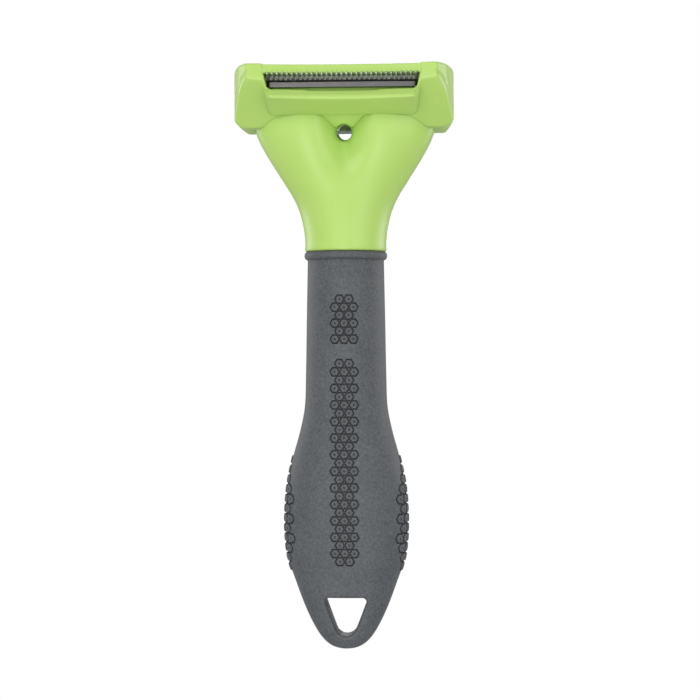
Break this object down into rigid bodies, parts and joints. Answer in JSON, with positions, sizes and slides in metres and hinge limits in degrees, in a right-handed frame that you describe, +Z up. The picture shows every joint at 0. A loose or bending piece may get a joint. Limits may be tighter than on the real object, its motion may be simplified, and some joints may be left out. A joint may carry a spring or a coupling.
{
  "type": "deshedding tool",
  "caption": "Hand-held pet deshedding tool: fine-toothed steel blade in a T-shaped head, sprung thumb button that pushes the hair off, forked neck and rubber grip with a hanging hole.",
  "frame": {"origin": "on the handle's axis at its butt end, the middle of the bounding box's bottom face", "axes": "+Z up the handle to the head, +X across the head, +Y from the teeth to the thumb button"},
  "size_m": [0.0554, 0.0409, 0.147],
  "materials": {
    "green_plastic": "satin moulded, lime green",
    "grip_rubber": "matte soft-touch, dark grey",
    "core_plastic": "moulded, black",
    "grey_plastic": "moulded, mid grey",
    "blade_steel": "ground stainless",
    "bar_steel": "rolled stainless strip",
    "spring_steel": "drawn wire",
    "hardware_steel": "zinc plated"
  },
  "bodies": {
    "tool_body": {"grip_sleeve": "grip_rubber", "collar_ring": "grip_rubber", "handle_core": "core_plastic", "neck_yoke": "green_plastic", "head_front_housing": "green_plastic", "head_rear_cover": "green_plastic", "blade": "blade_steel", "blade_screws": "hardware_steel", "blade_dowels": "hardware_steel", "guide_pin_left": "hardware_steel", "guide_pin_right": "hardware_steel", "return_spring_left": "spring_steel", "return_spring_right": "spring_steel", "housing_screws": "hardware_steel", "yoke_lock_pin": "hardware_steel"},
    "ejector": {"ejector_bar": "bar_steel", "bar_rivets": "hardware_steel", "ejector_carriage": "green_plastic", "thumb_button": "grey_plastic", "button_screws": "hardware_steel"}
  },
  "joints": [
    {"name": "ejector_slide", "type": "slide", "parent": "tool_body", "child": "ejector", "axis": [0, -0.9848, 0.1736], "range_m": [0, 0.0055], "stiffness_N_per_m": 700, "springref_m": -0.003, "deforming": ["return_spring_left", "return_spring_right"]}
  ]
}
